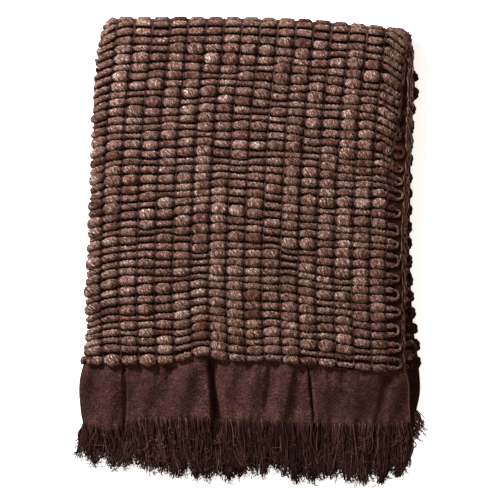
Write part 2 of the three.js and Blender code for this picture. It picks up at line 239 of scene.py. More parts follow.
def cloth_point(across, rows, off):
    """Points of the folded cloth. across is millimetres along a row from the first binding line towards the
    lengthwise fold and round it, rows counts the rows of yarn from the upper end to the lower one, and off is
    the distance out of the doubled middle."""
    across, rows, off = np.broadcast_arrays(across, rows, off)
    share, angle = folding(rows)
    guess_y = row_at(np.clip(LINE_X - across, *YARN_X), share) + FOLD_REACH * np.sin(angle)
    reach = UNDER_REACH * (1 - smooth(share, 0.9, 0.97))
    shift = (curve("below", guess_y) - curve("selvedge", guess_y) + reach) * angle / np.pi
    first_line = curve("line", guess_y) + shift
    centre = curve("fold", guess_y) + FACE
    past = across - (first_line - centre)
    turn = np.clip(past / TURN_RADIUS, 0, np.pi)
    outside = np.where(across < 0, EDGE_SQUEEZE * across, across)
    x = np.where(past < 0, first_line - outside, centre + (past - TURN_LENGTH))
    rounding = (past >= 0) & (past <= TURN_LENGTH)
    x = np.where(rounding, centre - off * np.sin(turn), x)

    radius = HALF_MIDDLE + off * np.cos(turn)
    begun = np.clip(past + ROLL_START, 0, ROLL_START)
    roll = ROLL_SLANT * (begun ** 2 / (2 * ROLL_START) + np.clip(past, 0, TURN_LENGTH))
    roll = roll * smooth(share, 0, 0.12) * np.cos(angle)
    y = row_at(x, share) - roll + radius * np.sin(angle) * FOLD_STRETCH
    z = STACK_MIDDLE + radius * np.cos(angle)
    return np.stack([x, y, settle(x, y, z)], -1)


def outward(point, across, along, off):
    """The unit directions out of the doubled middle, on the map of the yarn or of the sheets."""
    step = 0.5
    out = point(across, along, off + step) - point(across, along, off - step)
    return out / np.linalg.norm(out, axis=-1, keepdims=True)


# The plain ground cloth

# The inner leaf ends this far inside the outer one
LEAF_STEP = 3.0
# The lower half's yarn reaches out past its ground cloth
UNDER_EDGE = 5.0
# The cloth's corner is drawn in at the crosswise fold
CORNER_PULL = 8.0
HEM_WAVE = 1.0
# The band lies lower towards the right, and its leaves part towards the fringe
RIGHT_DROP = 5.0
RIGHT_DROP_X = (110, 200)
BAND_SPREAD = 0.7
# A fold deeper than the first has a steep left side, and one deeper than the second is leant over
SHARP_FOLD = 12.0
LEANING_FOLD = 6.0
OVERHANG = 0.4
CREASE_X = 185


def band_folds(x, share):
    """For each fold of the band its depth, the share of it that is left, and the place across it."""
    for top, bottom, half, deep, run, left in BAND_FOLDS:
        yield deep, lerp(1, left, np.clip(share / run, 0, 1)), (x - lerp(top, bottom, share)) / half


def gathered(x, share):
    """How far the upper band is drawn in below its own level: deep folds, and fine puckers at the hem."""
    depth = np.zeros(np.broadcast(x, share).shape)
    for deep, left, near in band_folds(x, share):
        steep = smooth(near, -1.1, -0.65) * (1 - smooth(near, -0.5, 1.7)) ** 0.8
        profile = steep if deep > SHARP_FOLD else np.exp(-1.2 * near ** 4)
        depth = np.maximum(depth, deep * left * profile)
    bend = x + 5 * share * np.sin(x / 47)
    narrow = np.abs(np.sin(bend / 10.4 + 1.3 * np.sin(bend / 37))) ** 0.7
    fine = np.sin(bend / 2.9 + 2 * np.sin(bend / 23))
    strength = 0.6 + 0.4 * np.sin(x / 29 + 2)
    fading = np.clip(1 - share / (0.25 + 0.3 * strength), 0, 1) ** 1.6
    puckers = strength * (3.6 * (1 - narrow) + 0.5 * fine) * fading
    soft = np.sin(x / 15 + 1.4 * share) * np.sin(x / 37 + 2 * share + 1)
    ripple = np.sin(x / 8.3 + 2.2 * np.sin(x / 53 + 1.5 * share))
    waves = (4.2 * soft + 1.2 * ripple) * smooth(share, 0, 0.25)
    hem = 1.5 * np.sin(x / 3.1 + 2 * np.sin(x / 19)) * smooth(share, 0.8, 1)
    return depth + puckers + hem - waves + crease(x, share)


def crease(x, share):
    """The short crease that lies across the band near the right."""
    line = share - (0.5 + 0.1 * (x - CREASE_X) / 20)
    near = np.exp(-((x - CREASE_X) / 15) ** 2)
    return near * (3.6 * np.exp(-(line / 0.05) ** 2) - 2.6 * np.exp(-((line + 0.1) / 0.07) ** 2))


def overhung(x, share):
    """How far the cloth left of a deep fold leans over it."""
    lean = np.zeros(np.broadcast(x, share).shape)
    for deep, left, near in band_folds(x, share):
        lean = lean + OVERHANG * max(deep - LEANING_FOLD, 0) * left * np.exp(-2.5 * (near + 1.0) ** 2)
    return lean


def sheet_point(u, along, off):
    """Points of the ground cloth. u runs from the outer leaf's selvedge at -1 to the lengthwise fold, round
    it from 0 to 1, and to the inner leaf's selvedge at 2. along counts rows of yarn, and beyond the first and
    the last one, shares of the bands. off is the distance out of the doubled middle."""
    u, along, off = np.broadcast_arrays(u, along, off)
    band = np.clip(-along, 0, 1) + np.clip(along - ALL_ROWS, 0, 1)
    rows = np.clip(along, 0, ALL_ROWS)
    share, angle = folding(rows)
    guess_x = lerp(*SHEET_X, np.maximum(np.maximum(-u, u - 1), 0))
    guess_y = row_at(guess_x, share) + FOLD_REACH * np.sin(angle)
    guess_y = np.where(band > 0, lerp(curve("row", guess_x), curve("root", guess_x), band), guess_y)
    centre = curve("fold", guess_y) + FACE
    half = angle / np.pi
    edge = lerp(curve("selvedge", guess_y), curve("below", guess_y), half)
    inset = UNDER_EDGE * half * (1 - smooth(rows, ALL_ROWS - 5, ALL_ROWS - 1))
    edge = edge - inset - CORNER_PULL * np.sin(angle)
    turn = np.pi * np.clip(u, 0, 1)
    flat = np.where(u < 0, (edge - centre) * -u, (edge - LEAF_STEP - centre) * (u - 1))
    x = centre + np.where((u >= 0) & (u <= 1), -off * np.sin(turn), flat)
    w = off * np.cos(turn)
    radius = HALF_MIDDLE + w
    y = row_at(x, share) + radius * np.sin(angle) * FOLD_STRETCH
    z = STACK_MIDDLE + radius * np.cos(angle)

    upper = along < 0
    start = STACK_MIDDLE + np.where(upper, HALF_MIDDLE, -HALF_MIDDLE)
    end = np.where(upper, UPPER_BAND_Z - RIGHT_DROP * smooth(x, *RIGHT_DROP_X), LOWER_BAND_Z)
    drawn = np.where(upper, gathered(x, band) * smooth(band, 0, 0.07), 0)
    spread = w * (1 + BAND_SPREAD * band)
    band_z = lerp(end, start, 1 - smooth(band, 0, 1)) + np.where(upper, spread, -spread) - drawn
    hem = HEM_WAVE * np.sin(x / 3.7 + 1.7 * np.sin(x / 13)) * smooth(band, 0.75, 1)
    y = np.where(band > 0, lerp(curve("row", x), curve("root", x), band) + hem, y)
    z = np.where(band > 0, band_z, z)
    x = x + np.where(upper, overhung(x, band) * smooth(band, 0, 0.1), 0)
    return np.stack([x, y, rested(settle(x, y, z))], -1)


# Meshes

def placed(name, data):
    """An object of some data, put into the scene."""
    made = bpy.data.objects.new(name, data)
    bpy.context.scene.collection.objects.link(made)
    return made


def add_piece(name, points, faces, uvs, material, pods=None):
    """A mesh object from points in millimetres. faces is a list of arrays with 3 or 4 corners a face, uvs the
    places in the yarn or weave of all corners, and pods each point's swelling, with the yarn's painted shade
    in it, and tone of the yarn."""
    mesh = bpy.data.meshes.new(name)
    mesh.vertices.add(len(points))
    mesh.vertices.foreach_set("co", ((points + SHIFT) * MM).astype(np.float32).ravel())
    corners = np.concatenate([f.ravel() for f in faces]).astype(np.int32)
    sizes = np.concatenate([np.full(len(f), f.shape[1]) for f in faces])
    mesh.loops.add(len(corners))
    mesh.loops.foreach_set("vertex_index", corners)
    mesh.polygons.add(len(sizes))
    starts = np.concatenate([[0], np.cumsum(sizes)[:-1]]).astype(np.int32)
    mesh.polygons.foreach_set("loop_start", starts)
    mesh.polygons.foreach_set("use_smooth", np.ones(len(sizes), bool))
    layer = mesh.uv_layers.new(name="Thread")
    flat_uvs = np.concatenate([uv.reshape(-1, 2) for uv in uvs]).astype(np.float32)
    layer.data.foreach_set("uv", flat_uvs.ravel())
    if pods is not None:
        layer = mesh.attributes.new("pod", "FLOAT_VECTOR", "POINT")
        layer.data.foreach_set("vector", pods.astype(np.float32).ravel())
    mesh.update(calc_edges=True)
    mesh.materials.append(material)
    made = placed(name, mesh)
    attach(made, BODY)
    return made


def cells(grid):
    """The four corners of every cell of a grid."""
    return np.stack([grid[:-1, :-1], grid[1:, :-1], grid[1:, 1:], grid[:-1, 1:]], 2)


class Tubes:
    """Gathers tubes of yarn or thread that end up in one mesh."""

    def __init__(self, sides):
        self.sides = sides
        self.points, self.quads, self.caps = [], [], []
        self.quad_uvs, self.cap_uvs, self.pods = [], [], []
        self.count = 0

    def add(self, centre, out, high, wide, place, lane, lobes=0.0, turns=0.0, pods=None):
        """centre and out are lines of points and of directions. high and wide are the half thickness along
        out and across it, place the distance along in columns, lane the thread's own number, lobes the depth
        of the grooves between two plies, and turns how often these have gone round."""
        sides, steps = self.sides, len(centre)
        high, wide, lobes, turns = (np.broadcast_to(v, steps)[:, None] for v in (high, wide, lobes, turns))
        side = np.cross(np.gradient(centre, axis=0), out)
        side /= np.linalg.norm(side, axis=1, keepdims=True)
        angle = np.pi + 2 * np.pi * np.arange(sides) / sides
        twist = 1 + lobes * np.cos(2 * (angle - 2 * np.pi * turns))
        up = (high * np.cos(angle) * twist)[..., None]
        over = (wide * np.sin(angle) * twist)[..., None]
        ring = centre[:, None] + np.broadcast_to(out, centre.shape)[:, None] * up + side[:, None] * over
        self.points += [ring.reshape(-1, 3), centre[[0, -1]]]
        if pods is not None:
            self.pods += [np.repeat(pods, sides, axis=0), pods[[0, -1]]]
        grid = self.count + np.arange(steps * sides).reshape(steps, sides)
        around = np.roll(grid, -1, axis=1)
        self.quads.append(cells(np.append(grid, grid[:, :1], axis=1)).reshape(-1, 4))
        self.count += steps * sides + 2
        start_cap = np.stack([np.full(sides, self.count - 2), grid[0], around[0]], -1)
        end_cap = np.stack([np.full(sides, self.count - 1), around[-1], grid[-1]], -1)
        self.caps.append(np.concatenate([start_cap, end_cap]))

        round_it = lane + np.arange(sides + 1) / sides
        along = np.broadcast_to(place, steps)
        uv = cells(np.stack(np.broadcast_arrays(along[:, None], round_it), -1))
        self.quad_uvs.append(uv.reshape(-1, 4, 2))
        cap_uv = np.full((2 * sides, 3, 2), lane + 0.5)
        cap_uv[:sides, :, 0] = along[0]
        cap_uv[sides:, :, 0] = along[-1]
        self.cap_uvs.append(cap_uv)

    def piece(self, name, material):
        faces = [np.concatenate(self.quads), np.concatenate(self.caps)]
        uvs = [np.concatenate(self.quad_uvs), np.concatenate(self.cap_uvs)]
        pods = np.concatenate(self.pods) if self.pods else None
        return add_piece(name, np.concatenate(self.points), faces, uvs, material, pods)


# Materials

# The dyes are dark and the light is strong, as with a dark cloth on a white floor
DYE = 0.42


def linear(red, green, blue):
    """A dye, named by the colour from 0 to 255 that it shows in full light."""
    shown = [((c / 255 + 0.055) / 1.055) ** 2.4 if c > 10 else c / 3294 for c in (red, green, blue)]
    return tuple(DYE * value for value in shown) + (1,)


def grey(value):
    return (value, value, value, 1)


WHITE = grey(1)


def fill(node, values):
    """Give a node's inputs their values."""
    for name, value in values.items():
        node.inputs[name].default_value = value


class Nodes:
    """Short names for building a material's nodes."""

    def __init__(self, name):
        self.material = bpy.data.materials.new(name)
        self.material.use_nodes = True
        self.tree = self.material.node_tree
        self.shader = self.tree.nodes["Principled BSDF"]

    def node(self, kind, **settings):
        made = self.tree.nodes.new(kind)
        for key, value in settings.items():
            setattr(made, key, value)
        return made

    def link(self, source, target):
        self.tree.links.new(source, target)

    def feed(self, sockets, values):
        """Numbers and colours go into their sockets, anything else is linked to them."""
        for socket, value in zip(sockets, values):
            if isinstance(value, (int, float, tuple)):
                socket.default_value = value
            else:
                self.link(value, socket)

    def math(self, operation, first, second=0.0, third=0.0):
        made = self.node("ShaderNodeMath", operation=operation)
        self.feed(made.inputs, (first, second, third))
        return made.outputs[0]

    def times(self, first, second):
        return self.math("MULTIPLY", first, second)

    def point(self, x, y, z=0.0):
        made = self.node("ShaderNodeCombineXYZ")
        self.feed(made.inputs, (x, y, z))
        return made.outputs[0]

    def noise(self, at, scale, detail=2.0, roughness=0.5):
        made = self.node("ShaderNodeTexNoise")
        fill(made, {"Scale": scale, "Detail": detail, "Roughness": roughness})
        self.link(at, made.inputs["Vector"])
        return made.outputs["Fac"]

    def ramp(self, factor, stops):
        made = self.node("ShaderNodeValToRGB")
        elements = made.color_ramp.elements
        while len(elements) < len(stops):
            elements.new(0.5)
        for element, (position, colour) in zip(elements, stops):
            element.position = position
            element.color = colour
        self.link(factor, made.inputs["Fac"])
        return made.outputs["Color"]

    def mix(self, factor, first, second, blend="MIX"):
        made = self.node("ShaderNodeMix", data_type="RGBA", blend_type=blend)
        self.feed((made.inputs[0], made.inputs[6], made.inputs[7]), (factor, first, second))
        return made.outputs[2]

    def tinted(self, colour, *tints):
        """A colour multiplied by others."""
        for tint in tints:
            colour = self.mix(1.0, colour, tint, "MULTIPLY")
        return colour

    def parts(self, vector):
        """The x and the y of a vector."""
        made = self.node("ShaderNodeSeparateXYZ")
        self.link(vector, made.inputs[0])
        return made.outputs["X"], made.outputs["Y"]

    def places(self):
        """The place along a thread, and its lane with the way round it."""
        return self.parts(self.node("ShaderNodeUVMap", uv_map="Thread").outputs["UV"])

    def bump(self, height, strength, distance):
        made = self.node("ShaderNodeBump")
        fill(made, {"Strength": strength, "Distance": distance})
        self.link(height, made.inputs["Height"])
        self.link(made.outputs["Normal"], self.shader.inputs["Normal"])

    def finish(self, colour, roughness, sheen, sheen_tint):
        self.link(colour, self.shader.inputs["Base Color"])
        fill(self.shader, {
            "Roughness": roughness,
            "Sheen Weight": sheen,
            "Sheen Roughness": 0.5,
            "Sheen Tint": sheen_tint,
            "Specular IOR Level": 0.08,
        })
        return self.material


# The yarn's girth, and how far its fibres run round it for each millimetre along
YARN_ROUND = 38.0
FIBRE_SLOPE = -0.85


def yarn_material():
    """Thick slub: twisted fibres of taupe, tan, pink-brown and dark brown, with painted light that makes it
    paler from the lengthwise fold on.
    """
    n = Nodes("slub_yarn")
    column, lane = n.places()
    along = n.times(column, COLUMN_PITCH)
    around = n.times(lane, YARN_ROUND)
    slanted = n.math("MULTIPLY_ADD", around, FIBRE_SLOPE, along)
    run = n.math("MULTIPLY_ADD", along, -FIBRE_SLOPE, around)
    fine = n.noise(n.point(slanted, n.times(run, 0.19)), 0.74, 3.0, 0.62)
    ply = n.noise(n.point(slanted, n.times(run, 0.1), 40.0), 0.3, 1.5)
    patch = n.noise(n.point(n.times(along, 0.035), n.times(around, 0.03)), 1.0, 2.0, 0.6)
    pink = n.noise(n.point(slanted, n.times(run, 0.2), 7.0), 0.42, 2.0, 0.6)
    speck = n.noise(n.point(along, n.times(around, 1.3), 11.0), 0.62, 2.0, 0.7)
    base = n.ramp(patch, [
        (0.30, linear(78, 50, 42)), (0.42, linear(106, 76, 63)),
        (0.56, linear(121, 90, 75)), (0.70, linear(143, 114, 97)),
    ])
    blush = n.ramp(pink, [(0.50, grey(0)), (0.62, WHITE)])
    fibres = n.ramp(fine, [
        (0.30, (0.14, 0.045, 0.012, 1)), (0.43, (0.57, 0.37, 0.25, 1)),
        (0.54, (1.15, 1.14, 1.12, 1)), (0.67, (3.9, 6.1, 8.6, 1)),
    ])
    specks = n.ramp(speck, [(0.32, (0.36, 0.27, 0.22, 1)), (0.5, WHITE), (0.66, (2.0, 2.4, 2.7, 1))])
    swelling, tone = n.parts(n.node("ShaderNodeAttribute", attribute_name="pod").outputs["Vector"])
    # Painted shade: the yarn is darker where the bindings pinch it, in the arms of the selvedge loops, in the
    # inner loops and on the lower half near its selvedge.
    swollen = n.ramp(swelling, [(0.0, (0.2, 0.08, 0.04, 1)), (0.25, (0.6, 0.42, 0.32, 1)), (0.55, WHITE)])
    tones = n.ramp(tone, [
        (0.0, (0.55, 0.34, 0.31, 1)), (0.03, (0.78, 0.68, 0.65, 1)), (0.14, (0.9, 0.88, 0.87, 1)),
        (0.55, WHITE), (1.0, (1.36, 1.42, 1.46, 1)),
    ])
    shade = n.ramp(ply, [(0.34, (0.44, 0.285, 0.2, 1)), (0.6, (1.25, 1.28, 1.29, 1))])
    # Painted light: the yarn is made paler from about 14 columns along its thread on, meant for the lit
    # lengthwise fold.
    rounding = n.math("MULTIPLY_ADD", column, 0.3, -4.1)
    painted_fold_light = n.ramp(rounding, [(0.0, WHITE), (0.5, (1.2, 1.22, 1.16, 1))])
    base_tint = n.mix(n.times(blush, 0.6), base, linear(112, 66, 58))
    lit = n.tinted(base_tint, fibres)
    lit = n.mix(0.48, lit, n.tinted(lit, specks))
    n.bump(n.math("MULTIPLY_ADD", ply, 1.3, fine), 1.0, 0.002)
    return n.finish(n.tinted(lit, swollen, tones, shade, painted_fold_light), 0.95, 0.04, linear(190, 160, 140))


def cloth_material():
    """The plain dark ground cloth: fine threads both ways with small slubs, with painted shade under the
    yarn, on the lower band and towards the right selvedge.
    """
    n = Nodes("ground_cloth")
    across, along = n.places()
    warp = n.noise(n.point(across, n.times(along, 0.25)), 0.8, 3, 0.7)
    weft = n.noise(n.point(n.times(across, 0.2), along, 9.0), 0.7, 3, 0.7)
    cloud = n.noise(n.point(across, along, 3.0), 0.05, 4, 0.7)
    grain = n.noise(n.point(across, along, 17.0), 0.36, 3, 0.75)
    weave = n.math("MULTIPLY_ADD", n.math("ADD", warp, weft), 0.25, n.times(grain, 0.5))
    base = n.ramp(cloud, [(0.36, linear(62, 36, 31)), (0.64, linear(84, 52, 46))])
    threads = n.ramp(weave, [(0.4, (0.36, 0.28, 0.24, 1)), (0.5, WHITE), (0.59, grey(2.9))])
    # Painted shade across the cloth: darker towards the right selvedge, away from the light, and a little
    # darker near the lengthwise fold and on the inner leaf.
    base_tint = n.ramp(n.times(across, -1 / LEAF_WIDTH), [
        (0.1, grey(0.92)), (0.4, grey(1.04)), (0.6, grey(1.04)), (0.85, (0.8, 0.82, 0.8, 1)),
    ])
    plain_cloth = n.tinted(base, base_tint, threads)
    # Painted shade: the ground sheet under the yarn and the lower band are darkened, where the yarn and the
    # layers above shade them.
    painted_shade_under_yarn = n.times(n.math("GREATER_THAN", along, 3.0), 0.8)
    shaded = n.mix(painted_shade_under_yarn, plain_cloth, n.tinted(plain_cloth, (0.28, 0.13, 0.07, 1)))
    n.bump(weave, 0.7, 0.0008)
    return n.finish(shaded, 0.92, 0.15, linear(150, 110, 100))


# Threads numbered from here are loose light hairs
HAIR_LANE = 60000


def thread_material(name, dark, light, red, painted_light_fall=0.0):
    """Fine dark threads, each of its own shade. The last argument is how much painted light and shade they
    take along their first 100 mm: lighter at the root and darker further on.
    """
    n = Nodes(name)
    along, lane = n.places()
    number = n.math("FLOOR", lane)
    white = n.node("ShaderNodeTexWhiteNoise", noise_dimensions="1D")
    n.link(number, white.inputs["W"])
    fibre = n.noise(n.point(n.times(along, 7), n.times(lane, 6)), 1.0, 3, 0.6)
    own = n.times(n.math("POWER", white.outputs["Value"], 2.5), 0.62)
    hair = n.times(n.math("GREATER_THAN", number, float(HAIR_LANE - 1)), 0.35)
    shade = n.math("ADD", n.math("MULTIPLY_ADD", fibre, 0.8, own), hair)
    colour = n.ramp(shade, [(0.3, dark), (0.8, light), (1.0, red)])
    # Painted light and shade: the threads are lighter near the root and darker further along.
    fading = n.ramp(n.times(along, 0.3), [(0.0, grey(1.3)), (1.0, (0.75, 0.7, 0.68, 1))])
    n.bump(fibre, 0.4, 0.0004)
    return n.finish(n.mix(painted_light_fall, colour, n.tinted(colour, fading)), 0.85, 0.06, linear(150, 110, 100))


SLUB_YARN = yarn_material()
GROUND_CLOTH = cloth_material()
BINDING = thread_material("binding_warps", linear(74, 45, 39), linear(112, 76, 68), linear(128, 90, 80))
WARP_ENDS = thread_material("warp_ends", linear(34, 13, 9), linear(76, 47, 40), linear(112, 77, 66), 0.45)
EDGE_CORD = thread_material("edge_cords", linear(54, 31, 23), linear(95, 65, 51), linear(150, 117, 96))

# The thick yarn

RANDOM = np.random.default_rng(11)
FIRST_COLUMN = -3
COLUMNS = 42
# Half thickness and length of the yarn where a pair of warps ties it down
PINCH = 2.5
BINDING_GAP = 3.2
# How far the yarn's middle lies above the ground cloth, in half thicknesses
YARN_LIFT = 0.92
# Between these rows the yarn lies over the selvedge, with longer outermost pods, and slants
OVER_START = (22, 32)
OVER_END = (41, 44)
OUTER_STRETCH = 0.46
REACH_OVER = 5.0
SLANT_THIN = 0.2


def over_edge(row):
    """From 0 for rows that end inside the selvedge to 1 for those that lie over it."""
    return float(smooth(row, *OVER_START) * (1 - smooth(row, *OVER_END)))


def outer_stretch(row):
    return 1 + OUTER_STRETCH * over_edge(row)


def blurred(values, weights, axis):
    """Values rounded with their neighbours along an axis."""
    reach = len(weights) // 2
    widths = [(reach, reach) if a == axis else (0, 0) for a in range(values.ndim)]
    padded = np.pad(values, widths, mode="edge")
    count = values.shape[axis]
    return sum(w * np.take(padded, np.arange(i, i + count), axis=axis) for i, w in enumerate(weights))


def slub_sizes():
    """How thick each pod is next to the mean: slow swellings along the yarn and a spread of its own."""
    slow = blurred(RANDOM.normal(size=(ALL_ROWS, COLUMNS)), [0.2, 0.6, 0.8, 0.6, 0.2], 1)
    own = RANDOM.normal(size=(ALL_ROWS, COLUMNS))
    sizes = np.clip(1 + 0.13 * slow + 0.23 * own, 0.55, 1.55)
    calm = np.exp(-((np.arange(ALL_ROWS) + 0.5 - FOLD_MIDDLE) / 3.4) ** 4)
    return lerp(sizes, 0.96, 0.6 * calm[:, None])


def stacked(sizes):
    """How far each pod lies from even rows, in rows, once the rows are stacked by their thickness."""
    reached = (np.cumsum(sizes, 0) - 0.5 * sizes) / sizes.mean(0)
    off_even = reached - np.arange(ALL_ROWS)[:, None] - 0.5
    bell = np.exp(-0.5 * (np.arange(-9, 10) / 3.5) ** 2)
    drift = blurred(off_even, bell / bell.sum(), 0)
    moved = np.clip(0.95 * blurred(off_even - drift, [0.15, 0.7, 0.15], 1), -0.55, 0.55)
    moved[0] = 0.4 * moved[0] - 0.1
    return moved


# Pods given one by one, thin, thick and reddish ones: row, column, thickness next to the mean, tone
PODS = np.array([
    (13, 5, 0.5, 0.06), (13, 4, 0.5, 0.06), (13, 3, 0.55, 0.1), (12, 4, 0.5, 0.12), (11, 4, 0.55, 0.2),
    (15, 12, 0.5, 0.1), (15, 11, 0.5, 0.1), (14, 10, 0.6, 0.06), (12, 9, 0.5, 0.15), (11, 9, 0.5, 0.3),
    (9, 10, 0.5, 0.1), (9, 9, 0.55, 0.2), (16, 6, 0.55, 0.2), (1, 9, 0.55, 0.2), (1, 10, 0.6, 0.2),
    (33, 9, 0.55, 0.2), (33, 8, 0.55, 0.2), (34, 3, 0.6, 0.2),
    (17, 8, 1.5, 1.0), (17, 7, 1.45, 1.0), (16, 10, 1.5, 0.7), (18, 11, 1.4, 0.8), (14, 3, 1.5, 0.7),
    (19, 3, 1.4, 0.8), (10, 8, 1.4, 0.8), (10, 7, 1.35, 0.7), (12, 1, 1.4, 0.95), (13, 1, 1.3, 0.95),
    (38, 4, 1.2, 1.0),
    (16, 9, 1.3, 0.02), (29, 8, 1.1, 0.015), (35, 10, 0.9, 0.02),
])
POD_PLACES = (PODS[:, 0].astype(int), PODS[:, 1].astype(int) - FIRST_COLUMN)

SIZES = slub_sizes()
SIZES[POD_PLACES] = PODS[:, 2]
OFF_EVEN = stacked(SIZES)
# How far the loops at the selvedge reach out
LOOP_REACH = RANDOM.uniform(4, 12, ALL_ROWS)
LOOP_REACH[HALF_ROWS - 10:] = 3.0
LOBE_START = RANDOM.uniform(0, 1, ALL_ROWS)
TONES = RANDOM.uniform(0, 1, (ALL_ROWS, COLUMNS))
TONES[POD_PLACES] = PODS[:, 3]
# How dark the painted shade on each pair's loop arms is, a random amount.
ARM_SHADE_AND_TONE = RANDOM.uniform(0.1, 0.8, ALL_ROWS)


def column_at(at):
    """A place's column in the tables."""
    return np.clip(np.floor(at / COLUMN_PITCH).astype(int) - FIRST_COLUMN, 0, COLUMNS - 1)


def eased(table, row, at):
    """A row's values of a table between the middles of its columns."""
    place = np.clip(at / COLUMN_PITCH - 0.5 - FIRST_COLUMN, 0, COLUMNS - 1.001)
    low = np.floor(place).astype(int)
    share = place - low
    share = lerp(share, smooth(share, 0, 1), 0.4)
    return lerp(table[row, low], table[row, low + 1], share)


# Towards the upper right the rows hang down over the selvedge
HANG = 0.5
HANG_START = (-18.0, -10.0)
HANG_ROWS = (8, 33)
HANG_END = (39, 43.5)


def row_shift(row, at):
    """How far a row of yarn lies from its even place, in rows."""
    hang = HANG * smooth(row, *HANG_ROWS) * (1 - smooth(row, *HANG_END))
    start = lerp(*HANG_START, over_edge(row))
    return eased(OFF_EVEN, row, at) - hang * np.clip(start - at, 0, None) / ROW_PITCH


def pod_shape(row, at):
    """The yarn's size next to the mean, and how far it has swollen between two bindings, from 0 to 1."""
    at = np.where(at < 0, at / outer_stretch(row), at)
    size = SIZES[row, column_at(at)]
    share = np.clip((at % COLUMN_PITCH - BINDING_GAP / 2) / (COLUMN_PITCH - BINDING_GAP), 0, 1)
    plump = lerp(4.2, 2.5, np.clip((size - 0.6) / 0.8, 0, 1))
    plump = lerp(plump, 2.1, math.exp(-((row - FOLD_MIDDLE) / 4) ** 2))
    return size, (1 - np.abs(2 * share - 1) ** plump) ** 0.55


# Outside the last binding line the selvedge's own warps hold the yarn, and then the loops begin
EDGE_LINE = COLUMN_PITCH
HELD_FROM = (EDGE_LINE, EDGE_LINE + 3)
ARM_FROM = (EDGE_LINE + 12, EDGE_LINE + 20)
LOOP_START = -55.0
UNDER_START = -50.0
# Half thicknesses where the yarn is held, in a loop's arms and at its tip, inside the selvedge and over it
HELD_WIDE, HELD_HIGH = (5.0, 4.0), (4.3, 3.2)
ARM_WIDE, ARM_HIGH = (2.6, 2.4), (2.7, 2.1)
TIP_WIDE, TIP_HIGH = (2.4, 2.3), (2.5, 2.0)
UNDER_WIDE = 4.8
# Half thicknesses of the pods
POD_WIDE = 0.46 * ROW_PITCH
POD_HIGH = 5.9
LEAST_HIGH, MOST_HIGH = 3.8, 7.6
HIDDEN_HIGH = 4.9
FOLD_HIGH = 5.2


def loop_start(row):
    return UNDER_START if row > FOLD_MIDDLE else LOOP_START + REACH_OVER * over_edge(row)


def yarn_section(row, at):
    """Half thicknesses of the yarn, out of the cloth and across it, its size, and the swelling it shows, with
    painted shade in the selvedge loops and on the lower half near its selvedge.
    """
    size, swell = pod_shape(row, at)
    over = over_edge(row)
    below = row > FOLD_MIDDLE
    wide_most = POD_WIDE * size * (1 - SLANT_THIN * over * smooth(-at, 2, 14))
    high_most = np.clip(POD_HIGH * size ** 0.7, LEAST_HIGH, MOST_HIGH)
    wide = lerp(np.minimum(PINCH + 0.3, 0.62 * wide_most), wide_most, swell)
    high = lerp(PINCH, high_most, swell)
    outside = -at / outer_stretch(row)
    held = smooth(outside, *HELD_FROM)
    tail = smooth(outside, *ARM_FROM)
    wide = lerp(wide, lerp(lerp(*HELD_WIDE, over), lerp(*ARM_WIDE, over), tail), held)
    high = lerp(high, lerp(lerp(*HELD_HIGH, over), lerp(*ARM_HIGH, over), tail), held)
    wide = lerp(wide, np.maximum(wide, UNDER_WIDE), held * below)
    ripple = 1 + 0.05 * np.sin(at / 3.7 + 5 * row) + 0.04 * np.sin(at / 2.3 + 3 * row)
    # Painted shade outside the edge line: the loops' arms are darkened, the first pairs each by a random
    # amount, the tips stay light but for rows over the selvedge, and the lower half's held yarn is darkest.
    arm_shade_and_tone = lerp(lerp(ARM_SHADE_AND_TONE[row // 2], 0.2, smooth(row, 12, 18)), 0.1, over)
    shown = 0.0 if below else lerp(arm_shade_and_tone, 1 - over, tail)
    # Painted shade: the lower half's yarn is darkened at its selvedge, fading out over 80 mm inside the first
    # binding line, where the upper half shades it.
    painted_lower_shade = 1 - 0.8 * below * (1 - smooth(at, 0, 80))
    return high * ripple, wide * ripple, size, lerp(swell, shown, held) * painted_lower_shade


# How far inside the selvedge the inner leaves' loops start, looked for among these places
UNDER_LOOP = 11.0
PROBES = np.linspace(900, 1250, 351)
YARN_OFF = 6.6
# Places across where the yarn goes out of sight, and where it gets thinner at the corners
HIDDEN_AT = (560, 590)
CORNER_AT = (500, 540)
CORNER_ROWS = (31, 37)
CORNER_HIGH = 0.72
CORNER_WIDE = 0.86


def inner_end(row):
    """Where a row ends at the inner leaf's selvedge, in millimetres across."""
    points = cloth_point(PROBES, row + 0.5, YARN_OFF)
    edge = curve("below" if row >= FOLD_MIDDLE else "selvedge", points[0, 1])
    return float(np.interp(edge - UNDER_LOOP, points[:, 0], PROBES))


def yarn_path(row, at):
    """One row of yarn as a table, with a line each for its places across, the rows, the distances out of the
    doubled middle, the half thicknesses out and across, the sizes and the swellings, with the painted shade
    in them."""
    high, wide, size, swell = yarn_section(row, at)
    inner = smooth(at, *HIDDEN_AT)
    most = HIDDEN_HIGH if row >= UNDER_ROW else MOST_HIGH
    high = np.minimum(high, lerp(most, HIDDEN_HIGH, inner))
    if HALF_ROWS <= row < UNDER_ROW:
        high = np.minimum(high, FOLD_HIGH) * lerp(1, 0.8, inner)
        wide = wide * lerp(0.86, 0.3, inner)
    corner = smooth(at, *CORNER_AT) * (1 - inner) * (1 if row < 2 else smooth(row, *CORNER_ROWS))
    high = high * lerp(1, CORNER_HIGH, corner)
    wide = wide * lerp(1, CORNER_WIDE, corner)
    towards_pair = 0.05 if row % 2 == 0 else -0.05
    pairing = towards_pair * smooth(-at, EDGE_LINE - 4, EDGE_LINE + 6) * (1 - over_edge(row))
    rows = row + 0.5 + row_shift(row, at) + pairing
    return np.stack([at, rows, GROUND_TOP + YARN_LIFT * high, high, wide, size, swell])


SEEN_COLUMNS = np.arange(-2, 18)[:, None]
SEEN_END = 17.5 * COLUMN_PITCH
